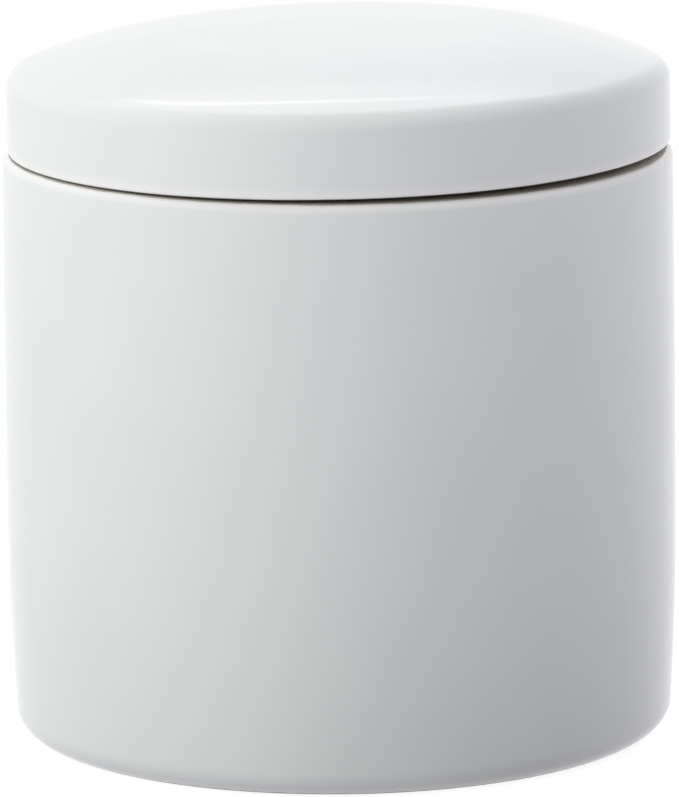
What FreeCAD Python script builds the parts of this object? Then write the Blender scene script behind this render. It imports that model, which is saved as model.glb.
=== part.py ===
"""Round porcelain keeper: a slightly barrelled pot and a shallow domed cap lid that lifts off.

Millimetres, +Z up. The origin is the middle of the ring that the pot stands on.
"""

import FreeCAD
import Part
import math
import os

# The pot's outside. Its wall is widest at the belly and draws in a little above and below it.
belly_radius = 60.0
belly_height = 39.4
pot_height = 104.8
shoulder_draw_in = 0.36
base_draw_in = 1.34
base_rounding = 4.7
shoulder_rounding = 1.8

# The pot's wall, mouth and inside.
wall_thickness = 5.6
mouth_rounding = 1.2
floor_thickness = 5.0
floor_rounding = 12.0

# The foot: a ground ring around a shallow recess in the underside, with a slanted inner side.
foot_ring_width = 3.6
foot_recess = 1.8
foot_slant = 1.4

# The lid's outside: a low skirt, a tight edge, and a crown of two arcs that meet in tangent.
lid_setback = 0.58
lid_height = 21.5
skirt_taper = 0.08
skirt_lip_rounding = 0.6
crown_edge_rounding = 3.5
crown_flank_radius = 102.5
crown_top_radius = 480.0
crown_top_reach = 27.0

# The lid's inside, and the collar that holds it in the pot's mouth.
crown_thickness = 5.0
hollow_taper = 1.0
hollow_rounding = 9.0
collar_depth = 8.0
collar_thickness = 4.0
collar_clearance = 0.8
collar_taper = 0.3
collar_rounding = 1.4
collar_root_rounding = 1.0

# How the lid sits: it rests on the rim at one side, pushed over and canted by its loose collar.
seat_clearance = 0.2
lid_shift = 0.3
lid_cant_degrees = 0.6

rim_radius = belly_radius - shoulder_draw_in
base_radius = belly_radius - base_draw_in
mouth_radius = rim_radius - wall_thickness
lid_radius = rim_radius - lid_setback
collar_radius = mouth_radius - collar_clearance

ORIGIN = FreeCAD.Vector(0, 0, 0)
X_AXIS = FreeCAD.Vector(1, 0, 0)
Y_AXIS = FreeCAD.Vector(0, 1, 0)
Z_AXIS = FreeCAD.Vector(0, 0, 1)


def at(radius, height):
    """A point of a half section, in the XZ plane."""
    return X_AXIS * radius + Z_AXIS * height


def line(start, end):
    return Part.LineSegment(start, end).toShape()


def arc_between(centre, start, end):
    """The short arc from start to end around a centre, all in the XZ plane."""
    to_start = start - centre
    to_middle = to_start + (end - centre)
    middle = centre + to_middle * (to_start.Length / to_middle.Length)
    return Part.Arc(start, middle, end).toShape()


def wall_arc(start, end):
    """A stretch of barrelled wall: an arc that stands upright at its wider end, the belly."""
    belly, narrow = (start, end) if start.x > end.x else (end, start)
    draw_in = belly.x - narrow.x
    radius = (draw_in ** 2 + (belly.z - narrow.z) ** 2) / (2 * draw_in)
    return arc_between(belly - X_AXIS * radius, start, end)


def turned(steps):
    """The solid that a closed half section sweeps out around the Z axis.

    Each step is an edge of the section and the radius that rounds the corner at its end, or 0.
    """
    edges = [edge for edge, radius in steps]
    roundings = []
    for number, (_, radius) in enumerate(steps):
        if radius:
            following = (number + 1) % len(steps)
            corner = edges[number].distToShape(edges[following])[1][0][0]
            fillet = Part.ChFi2d.FilletAlgo(edges[number], edges[following], Part.Plane(ORIGIN, Y_AXIS))
            fillet.perform(radius)
            rounding, edges[number], edges[following] = fillet.result(corner)
            roundings.append(rounding)
    section = Part.Face(Part.Wire(Part.__sortEdges__(edges + roundings)))
    return section.revolve(ORIGIN, Z_AXIS, 360)


def make_pot():
    floor_height = foot_recess + floor_thickness
    recess_radius = base_radius - base_rounding - foot_ring_width

    outer_belly = at(belly_radius, belly_height)
    outer_base = at(base_radius, 0)
    outer_rim = at(rim_radius, pot_height)
    inner_belly = at(belly_radius - wall_thickness, belly_height)
    inner_rim = at(mouth_radius, pot_height)
    inner_base = at(base_radius - wall_thickness, floor_height)
    floor_middle = at(0, floor_height)
    recess_middle = at(0, foot_recess)
    recess_edge = at(recess_radius - foot_slant, foot_recess)
    ring_edge = at(recess_radius, 0)

    return turned([
        (line(ring_edge, outer_base), base_rounding),
        (wall_arc(outer_base, outer_belly), 0),
        (wall_arc(outer_belly, outer_rim), shoulder_rounding),
        (line(outer_rim, inner_rim), mouth_rounding),
        (wall_arc(inner_rim, inner_belly), 0),
        (wall_arc(inner_belly, inner_base), floor_rounding),
        (line(inner_base, floor_middle), 0),
        (line(floor_middle, recess_middle), 0),
        (line(recess_middle, recess_edge), 0),
        (line(recess_edge, ring_edge), 0),
    ])


def crown(depth, edge_radius):
    """The crown's two arcs, offset inwards by a depth and run out from the axis to a radius.

    Returns the arc over the middle, the arc down the flank, and the flank's outer end.
    """
    top_centre = at(0, lid_height - crown_top_radius)
    lean = math.asin(crown_top_reach / crown_top_radius)
    outwards = at(math.sin(lean), math.cos(lean))
    flank_centre = top_centre + outwards * (crown_top_radius - crown_flank_radius)
    flank_radius = crown_flank_radius - depth

    apex = at(0, lid_height - depth)
    join = top_centre + outwards * (crown_top_radius - depth)
    edge_height = flank_centre.z + math.sqrt(flank_radius ** 2 - (edge_radius - flank_centre.x) ** 2)
    edge = at(edge_radius, edge_height)
    return arc_between(top_centre, apex, join), arc_between(flank_centre, join, edge), edge


def make_lid():
    """The lid upright on its own axis, with its seat face at height 0."""
    hollow_radius = collar_radius - collar_thickness
    outer_top, outer_flank, crown_edge = crown(0, lid_radius - skirt_taper)
    inner_top, inner_flank, hollow_edge = crown(crown_thickness, hollow_radius - hollow_taper)

    lip = at(lid_radius, 0)
    collar_root = at(collar_radius, 0)
    collar_outer_foot = at(collar_radius - collar_taper, -collar_depth)
    collar_inner_foot = at(hollow_radius, -collar_depth)
    outer_apex = at(0, lid_height)
    inner_apex = at(0, lid_height - crown_thickness)

    return turned([
        (outer_top, 0),
        (outer_flank, crown_edge_rounding),
        (line(crown_edge, lip), skirt_lip_rounding),
        (line(lip, collar_root), collar_root_rounding),
        (line(collar_root, collar_outer_foot), collar_rounding),
        (line(collar_outer_foot, collar_inner_foot), collar_rounding),
        (line(collar_inner_foot, hollow_edge), hollow_rounding),
        (inner_flank, 0),
        (inner_top, 0),
        (line(inner_apex, outer_apex), 0),
    ])


def seat_lid(lid):
    """Sets the lid on the rim: touching down on the -X side and lifted a little on the +X side."""
    rim_land_radius = rim_radius - shoulder_rounding
    cant_rise = rim_land_radius * math.sin(math.radians(lid_cant_degrees))
    seated = lid.copy()
    seated.rotate(ORIGIN, Y_AXIS, -lid_cant_degrees)
    seated.translate(at(lid_shift, pot_height + seat_clearance + cant_rise))
    return seated


parts = {
    "pot": make_pot(),
    "lid": seat_lid(make_lid()),
}

os.makedirs("parts", exist_ok=True)
for name, shape in parts.items():
    shape.exportStep("parts/" + name + ".step")
    print(name, "valid" if shape.isValid() else "NOT VALID", round(shape.Volume / 1000, 1), "cm3")
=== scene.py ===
"""Round porcelain keeper: a barrelled pot and a shallow domed cap lid, both in white glaze.

Metres, +Z up. The origin is the middle of the ring that the pot stands on.
"""
import math

import bmesh
import bpy
from mathutils import Matrix, Vector


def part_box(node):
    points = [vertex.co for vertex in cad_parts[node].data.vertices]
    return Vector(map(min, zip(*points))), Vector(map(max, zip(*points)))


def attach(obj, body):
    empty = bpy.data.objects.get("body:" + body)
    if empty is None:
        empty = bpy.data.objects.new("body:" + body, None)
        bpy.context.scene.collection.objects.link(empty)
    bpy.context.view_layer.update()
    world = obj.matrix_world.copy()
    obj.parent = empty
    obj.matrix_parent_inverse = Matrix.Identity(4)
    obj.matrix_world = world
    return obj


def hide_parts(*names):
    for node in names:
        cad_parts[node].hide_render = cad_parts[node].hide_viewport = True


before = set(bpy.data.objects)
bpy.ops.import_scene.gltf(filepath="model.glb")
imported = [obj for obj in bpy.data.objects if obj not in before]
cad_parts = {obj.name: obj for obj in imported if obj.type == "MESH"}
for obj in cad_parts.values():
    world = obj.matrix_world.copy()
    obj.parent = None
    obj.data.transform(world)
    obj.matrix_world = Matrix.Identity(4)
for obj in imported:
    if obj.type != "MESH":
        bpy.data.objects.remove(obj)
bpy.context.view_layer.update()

MM = 0.001
ORIGIN = Vector((0, 0, 0))

pot_low, pot_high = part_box("pot")

# The pot's outside.
belly_radius = (pot_high.x - pot_low.x) / 2
pot_height = pot_high.z
belly_height = 39.4 * MM
shoulder_draw_in = 0.36 * MM
base_draw_in = 1.34 * MM
base_rounding = 4.7 * MM
shoulder_rounding = 1.8 * MM

# The pot's wall, mouth and inside.
wall_thickness = 5.6 * MM
mouth_rounding = 1.2 * MM
floor_thickness = 5.0 * MM
floor_rounding = 12.0 * MM

# The foot.
foot_ring_width = 3.6 * MM
foot_recess = 1.8 * MM
foot_slant = 1.4 * MM
foot_edge_rounding = 0.5 * MM

# The lid's outside.
lid_setback = 0.58 * MM
lid_height = 21.5 * MM
skirt_taper = 0.08 * MM
skirt_lip_rounding = 0.6 * MM
crown_edge_rounding = 3.5 * MM
crown_flank_radius = 102.5 * MM
crown_top_radius = 480.0 * MM
crown_top_reach = 27.0 * MM

# The lid's inside and its collar.
crown_thickness = 5.0 * MM
hollow_taper = 1.0 * MM
hollow_rounding = 9.0 * MM
collar_depth = 8.0 * MM
collar_thickness = 4.0 * MM
collar_clearance = 0.8 * MM
collar_taper = 0.3 * MM
collar_rounding = 1.4 * MM
collar_root_rounding = 1.0 * MM

# How the lid sits.
seat_clearance = 0.2 * MM
lid_shift = 0.3 * MM
lid_cant = math.radians(0.6)

rim_radius = belly_radius - shoulder_draw_in
base_radius = belly_radius - base_draw_in
mouth_radius = rim_radius - wall_thickness
lid_radius = rim_radius - lid_setback
collar_radius = mouth_radius - collar_clearance
hollow_radius = collar_radius - collar_thickness
floor_height = foot_recess + floor_thickness
recess_radius = base_radius - base_rounding - foot_ring_width
lid_seat_height = pot_height + seat_clearance + (rim_radius - shoulder_rounding) * math.sin(lid_cant)

# How far the crown is out of true. Its edge is lifted all round, and then pushed up or down in places:
# the bearing of each push in degrees from the front, its rise, and how far round it the crown goes along.
edge_lift = 0.25 * MM
edge_lift_reach = 30 * MM
crown_pushes = [
    (35, 0.45 * MM, 48 * MM),
    (104, -0.95 * MM, 32 * MM),
]
held_skirt_height = 9 * MM
push_height = pot_height + 15 * MM
underside_normal = -0.02
crown_edge_normal = 0.9

# How finely the pieces are made.
turn_steps = 256
run_spacing = 3.0 * MM
corner_margin = 0.5 * MM
weld_distance = 0.001 * MM
smooth_angle = math.radians(35)


def at(radius, height):
    """A point of a half section, in the XZ plane."""
    return Vector((radius, 0, height))


class Section:
    """Half of a piece cut through its axis: a row of vertices in the XZ plane, drawn run by run."""

    def __init__(self, name, start):
        bpy.ops.object.select_all(action="DESELECT")
        bpy.ops.mesh.primitive_plane_add(size=MM)
        self.piece = bpy.context.object
        self.piece.name = self.piece.data.name = name
        self.pen = start
        self.rounding = 0.0
        self.corners = []
        bpy.ops.object.mode_set(mode="EDIT")
        bpy.ops.mesh.select_mode(type="VERT")
        bpy.ops.mesh.select_all(action="SELECT")
        bpy.ops.mesh.merge(type="CENTER")
        bpy.ops.transform.translate(value=start)

    def marks(self, length, rounding):
        """Distances along a run for its vertices: even, apart from the ends that roundings take up.

        A run that is nearly all roundings gets one vertex between them.
        """
        lead_in = self.rounding + corner_margin if self.rounding else 0.0
        lead_out = rounding + corner_margin if rounding else 0.0
        even = length - lead_in - lead_out
        if even < corner_margin:
            return [(length + self.rounding - rounding) / 2, length]
        count = max(1, round(even / run_spacing))
        inner = [lead_in + even * number / count for number in range(count + 1)]
        return [mark for mark in inner if 0 < mark < length - weld_distance] + [length]

    def corner(self, end, rounding, segments):
        """Sets the vertex that a run has reached exactly on the run's end, and notes its rounding."""
        mesh = bmesh.from_edit_mesh(self.piece.data)
        for vertex in mesh.verts:
            if vertex.select:
                vertex.co = end
        bmesh.update_edit_mesh(self.piece.data)
        if rounding:
            self.corners.append((end, rounding, segments))
        self.rounding = rounding
        self.pen = end

    def line_to(self, end, rounding=0.0, segments=1):
        """A straight run, and the radius and the steps of the rounding at its end."""
        run = end - self.pen
        reached = 0.0
        for mark in self.marks(run.length, rounding):
            bpy.ops.mesh.extrude_region_move(
                TRANSFORM_OT_translate={"value": run.normalized() * (mark - reached)}
            )
            reached = mark
        self.corner(end, rounding, segments)

    def arc_to(self, end, centre, rounding=0.0, segments=1):
        """A run along an arc round a centre, the short way, and the rounding at its end."""
        radius = (self.pen - centre).length
        turn = 2 * math.asin((end - self.pen).length / 2 / radius)
        axis = (end - centre).cross(self.pen - centre).normalized()
        reached = 0.0
        for mark in self.marks(radius * turn, rounding):
            bpy.ops.mesh.spin(steps=1, angle=(mark - reached) / radius, center=centre, axis=axis)
            reached = mark
        self.corner(end, rounding, segments)

    def round_corners(self):
        """Bevels each corner into an arc that runs into the runs beside it."""
        bpy.ops.mesh.select_mode(type="VERT")
        for place, rounding, segments in self.corners:
            mesh = bmesh.from_edit_mesh(self.piece.data)
            bpy.ops.mesh.select_all(action="DESELECT")
            vertex = min(mesh.verts, key=lambda other: (other.co - place).length)
            before, after = [edge.other_vert(vertex).co - vertex.co for edge in vertex.link_edges]
            turn = math.pi - before.angle(after)
            vertex.select_set(True)
            bmesh.update_edit_mesh(self.piece.data)
            bpy.ops.mesh.bevel(
                affect="VERTICES", offset_type="OFFSET", offset=rounding * math.tan(turn / 2),
                segments=segments, profile=0.5, clamp_overlap=False,
            )

    def turned(self):
        """The closed piece that the section sweeps out around the Z axis."""
        self.round_corners()
        bpy.ops.mesh.select_all(action="SELECT")
        bpy.ops.mesh.spin(
            steps=turn_steps, angle=math.tau, use_auto_merge=True, center=ORIGIN, axis=(0, 0, 1)
        )
        bpy.ops.mesh.select_all(action="SELECT")
        bpy.ops.mesh.remove_doubles(threshold=weld_distance)
        bpy.ops.mesh.normals_make_consistent(inside=False)
        bpy.ops.object.mode_set(mode="OBJECT")
        bpy.ops.object.shade_smooth_by_angle(angle=smooth_angle)
        return self.piece


def wall_centre(belly, narrow):
    """Centre of the arc that stands upright at the belly and runs to the wall's narrower end."""
    draw_in = belly.x - narrow.x
    radius = (draw_in ** 2 + (belly.z - narrow.z) ** 2) / (2 * draw_in)
    return belly - at(radius, 0)


def make_pot():
    outer_base = at(base_radius, 0)
    outer_belly = at(belly_radius, belly_height)
    outer_rim = at(rim_radius, pot_height)
    inner_rim = at(mouth_radius, pot_height)
    inner_belly = at(belly_radius - wall_thickness, belly_height)
    inner_base = at(base_radius - wall_thickness, floor_height)

    section = Section("porcelain_pot", at(0, foot_recess))
    section.line_to(at(recess_radius - foot_slant, foot_recess), foot_edge_rounding, 4)
    section.line_to(at(recess_radius, 0), foot_edge_rounding, 4)
    section.line_to(outer_base, base_rounding, 20)
    section.arc_to(outer_belly, wall_centre(outer_belly, outer_base))
    section.arc_to(outer_rim, wall_centre(outer_belly, outer_rim), shoulder_rounding, 14)
    section.line_to(inner_rim, mouth_rounding, 10)
    section.arc_to(inner_belly, wall_centre(inner_belly, inner_rim))
    section.arc_to(inner_base, wall_centre(inner_belly, inner_base), floor_rounding, 20)
    section.line_to(at(0, floor_height))
    return section.turned()


def crown(depth, edge_radius):
    """The crown's two arcs, offset inwards by a depth: where each ends, and where each has its centre."""
    lean = math.asin(crown_top_reach / crown_top_radius)
    outwards = at(math.sin(lean), math.cos(lean))
    top_centre = at(0, lid_height - crown_top_radius)
    flank_centre = top_centre + outwards * (crown_top_radius - crown_flank_radius)
    flank_radius = crown_flank_radius - depth
    edge_rise = math.sqrt(flank_radius ** 2 - (edge_radius - flank_centre.x) ** 2)
    apex = at(0, lid_height - depth)
    join = top_centre + outwards * (crown_top_radius - depth)
    edge = at(edge_radius, flank_centre.z + edge_rise)
    return apex, join, edge, top_centre, flank_centre


def make_lid():
    """The lid, made upright with its seat face at height 0, then set on the rim."""
    inner_apex, inner_join, hollow_edge, top_centre, flank_centre = crown(
        crown_thickness, hollow_radius - hollow_taper
    )
    outer_apex, outer_join, crown_edge, _, _ = crown(0, lid_radius - skirt_taper)

    section = Section("porcelain_lid", inner_apex)
    section.arc_to(inner_join, top_centre)
    section.arc_to(hollow_edge, flank_centre, hollow_rounding, 16)
    section.line_to(at(hollow_radius, -collar_depth), collar_rounding, 10)
    section.line_to(at(collar_radius - collar_taper, -collar_depth), collar_rounding, 10)
    section.line_to(at(collar_radius, 0), collar_root_rounding, 8)
    section.line_to(at(lid_radius, 0), skirt_lip_rounding, 8)
    section.line_to(crown_edge, crown_edge_rounding, 24)
    section.arc_to(outer_join, flank_centre)
    section.arc_to(outer_apex, top_centre)
    lid = section.turned()
    seat_lid()
    shape_crown()
    return lid


def seat_lid():
    """Turns and moves the selected lid, in its mesh: down on the -X side, lifted on the +X side."""
    bpy.ops.object.mode_set(mode="EDIT")
    bpy.ops.mesh.select_all(action="SELECT")
    bpy.ops.transform.rotate(value=lid_cant, orient_axis="Y", center_override=ORIGIN)
    bpy.ops.transform.translate(value=at(lid_shift, lid_seat_height))
    bpy.ops.object.mode_set(mode="OBJECT")


def push(vertices, move, reach):
    """Moves vertices of the mesh in hand. The ones around them go along, less the further off they are."""
    bpy.ops.mesh.select_all(action="DESELECT")
    for vertex in vertices:
        vertex.select_set(True)
    bmesh.update_edit_mesh(bpy.context.object.data)
    bpy.ops.transform.translate(
        value=move, use_proportional_edit=True,
        proportional_edit_falloff="SMOOTH", proportional_size=reach,
    )


def shape_crown():
    """Takes the crown of the selected lid out of true.

    The lid's underside and its low skirt are hidden meanwhile, so they stay as they are.
    """
    bpy.ops.object.mode_set(mode="EDIT")
    mesh = bmesh.from_edit_mesh(bpy.context.object.data)
    held_height = lid_seat_height + held_skirt_height
    bpy.ops.mesh.select_all(action="DESELECT")
    for vertex in mesh.verts:
        vertex.select_set(vertex.normal.z < underside_normal or vertex.co.z < held_height)
    bmesh.update_edit_mesh(bpy.context.object.data)
    bpy.ops.mesh.hide(unselected=False)
    shown = [vertex for vertex in mesh.verts if not vertex.hide]
    crown_edge = [vertex for vertex in shown if vertex.normal.z < crown_edge_normal]
    push(crown_edge, (0, 0, edge_lift), edge_lift_reach)
    front = Vector((0, -lid_radius, push_height))
    for bearing, rise, reach in crown_pushes:
        place = Matrix.Rotation(math.radians(bearing), 4, "Z") @ front
        nearest = min(crown_edge, key=lambda vertex: (vertex.co - place).length)
        push([nearest], (0, 0, rise), reach)
    bpy.ops.mesh.reveal(select=False)
    bpy.ops.object.mode_set(mode="OBJECT")


class Wire:
    """An output of a node. Arithmetic on wires and numbers adds the Math nodes that work it out."""

    def __init__(self, finish, socket):
        self.finish = finish
        self.socket = socket

    def math(self, operation, first, second):
        return self.finish.node("ShaderNodeMath", {"operation": operation}, {0: first, 1: second})

    def __add__(self, other):
        return self.math("ADD", self, other)

    def __radd__(self, other):
        return self.math("ADD", other, self)

    def __sub__(self, other):
        return self.math("SUBTRACT", self, other)

    def __rsub__(self, other):
        return self.math("SUBTRACT", other, self)

    def __mul__(self, other):
        return self.math("MULTIPLY", self, other)

    def __rmul__(self, other):
        return self.math("MULTIPLY", other, self)

    def __truediv__(self, other):
        return self.math("DIVIDE", self, other)

    def __pow__(self, other):
        return self.math("POWER", self, other)


class Finish:
    """A material, and the nodes that make it."""

    def __init__(self, owner):
        owner.use_nodes = True
        self.tree = owner.node_tree
        self.tree.nodes.clear()

    def node(self, kind, settings, sockets, output=0):
        """Adds a node with its settings, then the values or wires of its sockets, and gives an output."""
        node = self.tree.nodes.new(kind)
        for name, value in settings.items():
            setattr(node, name, value)
        for name, value in sockets.items():
            if isinstance(value, Wire):
                self.tree.links.new(value.socket, node.inputs[name])
            else:
                node.inputs[name].default_value = value
        return Wire(self, node.outputs[output])

    def above(self, value, level, width):
        """0 below a level and 1 above it, with a soft step of that width."""
        sockets = {"Value": value, "From Min": level - width / 2, "From Max": level + width / 2}
        return self.node("ShaderNodeMapRange", {"interpolation_type": "SMOOTHSTEP"}, sockets)

    def below(self, value, level, width):
        return 1 - self.above(value, level, width)

    def larger(self, first, second):
        return self.node("ShaderNodeMath", {"operation": "MAXIMUM"}, {0: first, 1: second})

    def blend(self, mask, colour, other):
        """One colour where the mask is 0 and the other where it is 1."""
        return self.node("ShaderNodeMix", {"data_type": "RGBA"}, {0: mask, 6: colour, 7: other}, 2)

    def noise(self, place, grain, detail=2.0):
        """Soft noise from 0 to 1, with grains of that size."""
        sockets = {"Vector": place, "Scale": 1 / grain, "Detail": detail}
        return self.node("ShaderNodeTexNoise", {}, sockets)

    def seen(self):
        """1 for what the camera sees directly, in a reflection or through glass."""
        direct = self.node("ShaderNodeLightPath", {}, {}, "Is Camera Ray")
        through = self.node("ShaderNodeLightPath", {}, {}, "Is Transmission Ray")
        return self.larger(self.larger(direct, through), self.mirrored())

    def mirrored(self):
        """1 for what is seen in a reflection."""
        return self.node("ShaderNodeLightPath", {}, {}, "Is Glossy Ray")

    def end(self, shader, kind="ShaderNodeOutputMaterial"):
        output = self.tree.nodes.new(kind)
        self.tree.links.new(shader.socket, output.inputs["Surface"])


# The finishes: white glaze, warmer where it is thin and cooler where it is thick, and bare biscuit.
glaze_white = (0.80, 0.81, 0.80, 1)
glaze_shade = (0.78, 0.79, 0.782, 1)
# The thin glaze is also lighter than the rest: a painted highlight on the pot's shoulder and the lid's
# lip.
thin_glaze_and_highlight = (0.87, 0.865, 0.85, 1)
pooled_glaze = (0.74, 0.775, 0.765, 1)
# The biscuit is darkened as painted shade, so that the narrow gap under the lid looks dark.
shaded_biscuit_pale = (0.56, 0.53, 0.49, 1)
shaded_biscuit_dark = (0.46, 0.43, 0.395, 1)
glaze_index = 1.5
glaze_roughness = 0.05
glaze_roughness_range = 0.02
biscuit_roughness = 0.8

# Relief: how thick the glaze is, how it swells and ripples, and how rough the biscuit is.
glaze_thickness = 0.08 * MM
swell_depth = 0.016 * MM
ripple_depth = 0.0012 * MM
tooth_depth = 0.03 * MM
swell_grain = 24.0 * MM
ripple_grain = 2.5 * MM
tooth_grain = 0.5 * MM
cloud_grain = 18.0 * MM
roughness_grain = 9.0 * MM

# Where the glaze was wiped off, and how far its border wavers.
bare_foot_height = 0.6 * MM
bare_land_depth = 0.12 * MM
bare_seat_height = 0.12 * MM
waver_reach = 0.25 * MM
waver_grain = 4.0 * MM

# Where the glaze has run thin, and is painted lighter as a highlight on the pot's shoulder and the lid's
# lip.
thin_and_highlight_rim_depth = 1.0 * MM
thin_and_highlight_lip_height = 1.2 * MM
thin_and_highlight_lip_width = 0.8 * MM


def turned_place(finish, axis_foot, lean):
    """A point's place, radius and height on a piece whose axis stands on a foot and leans about Y."""
    place = finish.node("ShaderNodeTexCoord", {}, {}, "Object")
    sockets = {"Vector": place, "Location": axis_foot, "Rotation": (0, lean, 0)}
    place = finish.node("ShaderNodeMapping", {"vector_type": "TEXTURE"}, sockets)
    flat = finish.node("ShaderNodeVectorMath", {"operation": "MULTIPLY"}, {0: place, 1: (1, 1, 0)})
    radius = finish.node("ShaderNodeVectorMath", {"operation": "LENGTH"}, {0: flat}, "Value")
    height = finish.node("ShaderNodeSeparateXYZ", {}, {"Vector": place}, "Z")
    return place, radius, height


def pot_zones(finish, radius, height, waver):
    """Where the pot is bare, where its glaze is thin and painted lighter as a highlight on the shoulder,
    and where it has pooled.
    """
    foot = finish.below(height + waver, bare_foot_height, 0.15 * MM)
    land = finish.above(height + waver, pot_height - bare_land_depth, 0.08 * MM)
    bare = finish.larger(foot, land)
    thin_and_highlight = finish.above(height, pot_height - thin_and_highlight_rim_depth, 1.6 * MM)
    inside = finish.below(radius, base_radius - wall_thickness / 2, 0.5 * MM)
    corner = finish.above(radius, mouth_radius - floor_rounding / 2, floor_rounding)
    low = finish.below(height, floor_height + floor_rounding / 3, floor_rounding / 2)
    return bare, thin_and_highlight, inside * corner * low


def lid_zones(finish, radius, height, waver):
    """Where the lid is bare, where its glaze is thin and painted lighter as a highlight on the lip, and
    where it has pooled.
    """
    under = finish.below(height + waver, bare_seat_height, 0.1 * MM)
    bare = under * finish.above(radius + waver, collar_radius - collar_rounding, 0.3 * MM)
    lip = finish.below(height, thin_and_highlight_lip_height, 2.4 * MM)
    thin_and_highlight = lip * finish.above(radius, lid_radius - thin_and_highlight_lip_width, 0.4 * MM)
    hollow = finish.below(radius, hollow_radius - hollow_taper / 2, 2.0 * MM)
    return bare, thin_and_highlight, hollow * finish.below(height, 2.0 * MM, 6.0 * MM)


def porcelain(piece, axis_foot, lean, zones):
    """White glaze over a warm biscuit darkened as painted shade, which shows where the glaze was wiped off
    before firing.
    """
    material = bpy.data.materials.new(piece.name + "_glaze")
    finish = Finish(material)
    place, radius, height = turned_place(finish, axis_foot, lean)
    waver = (finish.noise(place, waver_grain) - 0.5) * waver_reach
    bare, thin_and_highlight, pooled = zones(finish, radius, height, waver)

    cloud = finish.above(finish.noise(place, cloud_grain), 0.5, 0.6)
    glaze = finish.blend(cloud, glaze_white, glaze_shade)
    # Painted highlight: the thin glaze is lighter on the pot's shoulder and the lid's lip.
    glaze = finish.blend(thin_and_highlight, glaze, thin_glaze_and_highlight)
    glaze = finish.blend(pooled, glaze, pooled_glaze)
    grain = finish.noise(place, tooth_grain, 6.0)
    # Painted shade: the bare biscuit is darkened for the gap under the lid.
    shaded_biscuit = finish.blend(finish.above(grain, 0.5, 0.5), shaded_biscuit_pale, shaded_biscuit_dark)

    swell = finish.noise(place, swell_grain, 1.0) * swell_depth
    ripple = finish.noise(place, ripple_grain, 1.0) * ripple_depth
    tooth = grain * tooth_depth
    relief = swell + ripple + (1 - bare) * glaze_thickness + bare * tooth
    roughness = glaze_roughness + finish.noise(place, roughness_grain) * glaze_roughness_range
    shader = finish.node("ShaderNodeBsdfPrincipled", {}, {
        "Base Color": finish.blend(bare, glaze, shaded_biscuit),
        "Roughness": roughness + bare * (biscuit_roughness - glaze_roughness),
        "Normal": finish.node("ShaderNodeBump", {}, {"Height": relief, "Distance": 1.0}),
        "IOR": glaze_index,
    })
    finish.end(shader)
    piece.data.materials.append(material)


# The studio: what is seen of it, directly or mirrored, is white, and what lights the object is dimmer.
aim = Vector((0, 0, 60 * MM))
white = (1, 1, 1, 1)
room_tint = (1.0, 0.995, 1.04, 1)
floor_tint = (1.0, 0.995, 1.06, 1)
floor_grey = (0.20, 0.20, 0.20, 1)
floor_white = 0.90
floor_width = 8.0
floor_depth = 0.02 * MM

# How bright the floor is in itself: on the oval table top around the object, where it is dimmer as a
# painted shadow of the object, most on its right, and past its edge.
table_centre = Vector((0, -0.04, 0))
table_reach = Vector((0.53, 0.41, 1))
table_shadow_glow = 0.33
table_shadow_left_gain = 0.03
table_shadow_fade_gain = 0.33
table_back_gain = 0.12
past_glow = 0.48
past_side_gain = 0.13
past_right_gain = 0.28
past_front_gain = 0.13
past_back_gain = 0.27
past_back_right_loss = 0.12

# Where the floor's brightness steps, by bearing or by reach: the level, and the width of the step.
front_step = (-0.6, 0.04)
behind_step = (0.86, 0.02)
right_step = (0, 0.5)
side_step = (0.3, 0.6)
outer_step = (0.45, 0.6)
back_step = (0.80, 0.30)
edge_step = (1, 0.02)

# How bright the room is in itself, and a hoop-shaped lamp behind the object that its lid mirrors.
wall_glow = 0.57
wall_high_gain = 0.46
ceiling_gain = 0.69
zenith_glow = 0.17
hoop_glow = 1.5
hoop_rise = 0.735

# Where the room's brightness steps, by direction, and the hoop's edges and ends.
room_back_step = (0.25, 1.1)
wall_step = (0.25, 0.5)
ceiling_step = (0.625, 0.25)
zenith_step = (0.85, 0.3)
hoop_inner_step = (0.25, 0.02)
hoop_outer_step = (0.285, 0.02)
hoop_foot_step = (0.05, 0.2)
hoop_end_step = (0.12, 0.34)


def floor_glow(finish):
    """How bright the floor is in itself, apart from how it looks: dimmer near the object, a painted shadow
    of it.
    """
    place = finish.node("ShaderNodeTexCoord", {}, {}, "Object")
    offset = finish.node("ShaderNodeVectorMath", {"operation": "SUBTRACT"}, {0: place, 1: table_centre})
    bearing = finish.node("ShaderNodeVectorMath", {"operation": "NORMALIZE"}, {0: offset})
    right = finish.node("ShaderNodeSeparateXYZ", {}, {"Vector": bearing}, "X")
    back = finish.node("ShaderNodeSeparateXYZ", {}, {"Vector": bearing}, "Y")
    offset = finish.node("ShaderNodeVectorMath", {"operation": "DIVIDE"}, {0: offset, 1: table_reach})
    reach = finish.node("ShaderNodeVectorMath", {"operation": "LENGTH"}, {0: offset}, "Value")

    front = finish.below(back, *front_step)
    behind = finish.above(back, *behind_step)
    rightwards = finish.above(right, *right_step)
    beside = (past_side_gain + past_right_gain * rightwards) * finish.below(back, *side_step)
    past = past_glow + beside * (1 - front) + past_front_gain * front
    past = past + (past_back_gain - past_back_right_loss * rightwards) * behind
    outer = finish.above(reach, *outer_step)
    # Painted shadow: the glow is dimmest near the object and on its right, and rises towards the table's
    # edge.
    table_and_shadow = table_shadow_glow - table_shadow_left_gain * right * (1 - outer) + table_shadow_fade_gain * outer
    table_and_shadow = table_and_shadow + table_back_gain * finish.above(back, *back_step)
    edge = finish.above(reach, *edge_step)
    return table_and_shadow * (1 - edge) + past * edge


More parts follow.
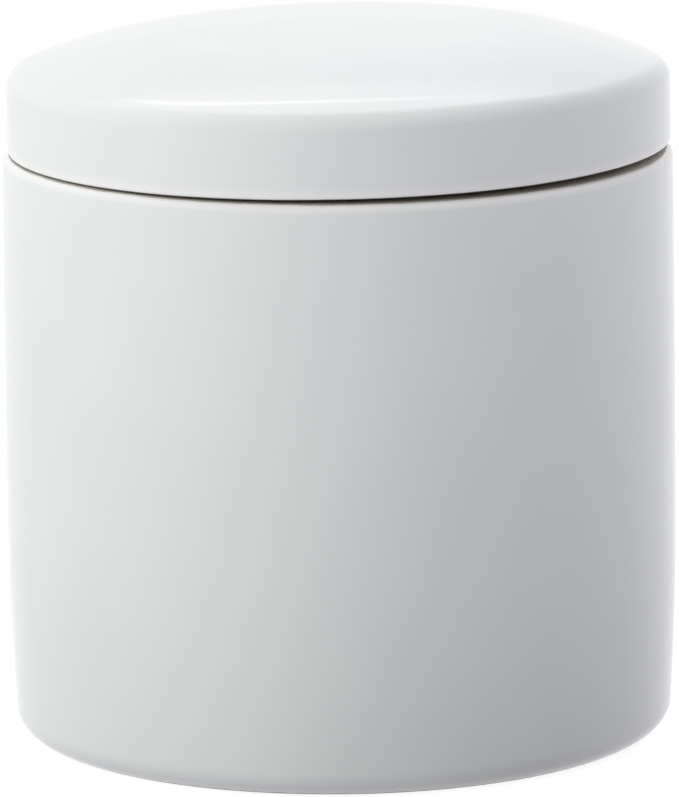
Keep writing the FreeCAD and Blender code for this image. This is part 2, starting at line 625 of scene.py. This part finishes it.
def lay_floor():
    """A wide floor, a hair under the object's foot. It looks white around the object's shadow."""
    bpy.ops.object.select_all(action="DESELECT")
    bpy.ops.mesh.primitive_plane_add(size=floor_width, location=(0, 0, -floor_depth))
    floor = bpy.context.object
    floor.name = "floor"
    material = bpy.data.materials.new("floor_paper")
    finish = Finish(material)
    seen = finish.seen()
    glow = floor_glow(finish)
    lit = finish.node("ShaderNodeBsdfDiffuse", {}, {"Color": floor_grey})
    own = finish.node("ShaderNodeEmission", {}, {
        "Color": finish.blend(seen, floor_tint, white),
        "Strength": glow * (1 - seen) + seen * floor_white,
    })
    finish.end(finish.node("ShaderNodeAddShader", {}, {0: lit, 1: own}))
    floor.data.materials.append(material)


def room_glow(finish):
    """How bright the room is in each direction, and how much brighter than white its lamps mirror."""
    direction = finish.node("ShaderNodeTexCoord", {}, {}, "Generated")
    right = finish.node("ShaderNodeSeparateXYZ", {}, {"Vector": direction}, "X")
    back = finish.node("ShaderNodeSeparateXYZ", {}, {"Vector": direction}, "Y")
    up = finish.node("ShaderNodeSeparateXYZ", {}, {"Vector": direction}, "Z")
    behind = finish.above(back, *room_back_step)
    wall = wall_glow + wall_high_gain * finish.above(up, *wall_step)
    ceiling = ceiling_gain * finish.above(up, *ceiling_step)
    zenith = zenith_glow * finish.above(up, *zenith_step)

    rise = up / back - hoop_rise
    sideways = right / back
    reach = (sideways * sideways + rise * rise) ** 0.5
    hoop = finish.above(reach, *hoop_inner_step) * finish.below(reach, *hoop_outer_step)
    hoop = hoop * finish.above(rise, *hoop_foot_step) * finish.below(sideways, *hoop_end_step)
    lamps = behind * (ceiling + hoop_glow * hoop) * finish.mirrored()
    return behind * (wall + ceiling) + zenith, lamps


def hang_backdrop():
    """The room around the floor. It looks white, with its lamps brighter where the object mirrors them."""
    world = bpy.data.worlds.new("studio")
    bpy.context.scene.world = world
    finish = Finish(world)
    seen = finish.seen()
    room, lamps = room_glow(finish)
    finish.end(finish.node("ShaderNodeBackground", {}, {
        "Color": finish.blend(seen, room_tint, white),
        "Strength": room * (1 - seen) + seen * (1 + lamps),
    }), "ShaderNodeOutputWorld")


def softbox(name, bearing, rise, distance, width, height, glow):
    """A soft lamp that faces the object and isn't mirrored in it.

    Its bearing is 0 behind the object and 90 at its right, and its glow is red, green and blue.
    """
    turn = math.radians(bearing)
    lift = math.radians(rise)
    level = Vector((math.sin(turn), math.cos(turn), 0))
    outwards = level * math.cos(lift) + Vector((0, 0, math.sin(lift)))
    data = bpy.data.lights.new(name, "AREA")
    data.shape = "RECTANGLE"
    data.size = width
    data.size_y = height
    data.color = glow
    data.energy = math.pi * width * height
    lamp = bpy.data.objects.new(name, data)
    bpy.context.scene.collection.objects.link(lamp)
    turned = outwards.to_track_quat("Z", "Y").to_matrix().to_4x4()
    lamp.matrix_world = Matrix.Translation(aim + outwards * distance) @ turned
    lamp.visible_camera = False
    lamp.visible_glossy = False


def light_studio():
    """A large key lamp at the front left, and a small lamp close by at the right."""
    softbox("key", 228, 36, 1.0, 1.2, 0.8, (2.78, 2.81, 2.80))
    softbox("side", 88, 38, 0.55, 0.4, 0.3, (1.88, 1.90, 2.02))


# The camera: its lens and sensor as lens makers give them, in millimetres, and its stand.
camera_lens = 362.53
camera_sensor = 36.0
camera_place = Vector((-0.186, -1408.33, 345.28)) * MM
camera_pitch = math.radians(11.487)
camera_roll = math.radians(-0.6545)


def make_camera():
    """A long lens, a little above the object and a touch out of level."""
    data = bpy.data.cameras.new("camera")
    data.lens = camera_lens
    data.sensor_width = camera_sensor
    camera = bpy.data.objects.new("camera", data)
    bpy.context.scene.collection.objects.link(camera)
    tilt = Matrix.Rotation(math.pi / 2 - camera_pitch, 4, "X")
    roll = Matrix.Rotation(camera_roll, 4, "Z")
    camera.matrix_world = Matrix.Translation(camera_place) @ tilt @ roll
    bpy.context.scene.camera = camera


pot = make_pot()
lid = make_lid()
porcelain(pot, ORIGIN, 0.0, pot_zones)
porcelain(lid, at(lid_shift, lid_seat_height), -lid_cant, lid_zones)
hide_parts("pot")
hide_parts("lid")
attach(pot, "pot")
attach(lid, "lid")

lay_floor()
hang_backdrop()
light_studio()
make_camera()
bpy.context.scene.view_settings.view_transform = "Standard"
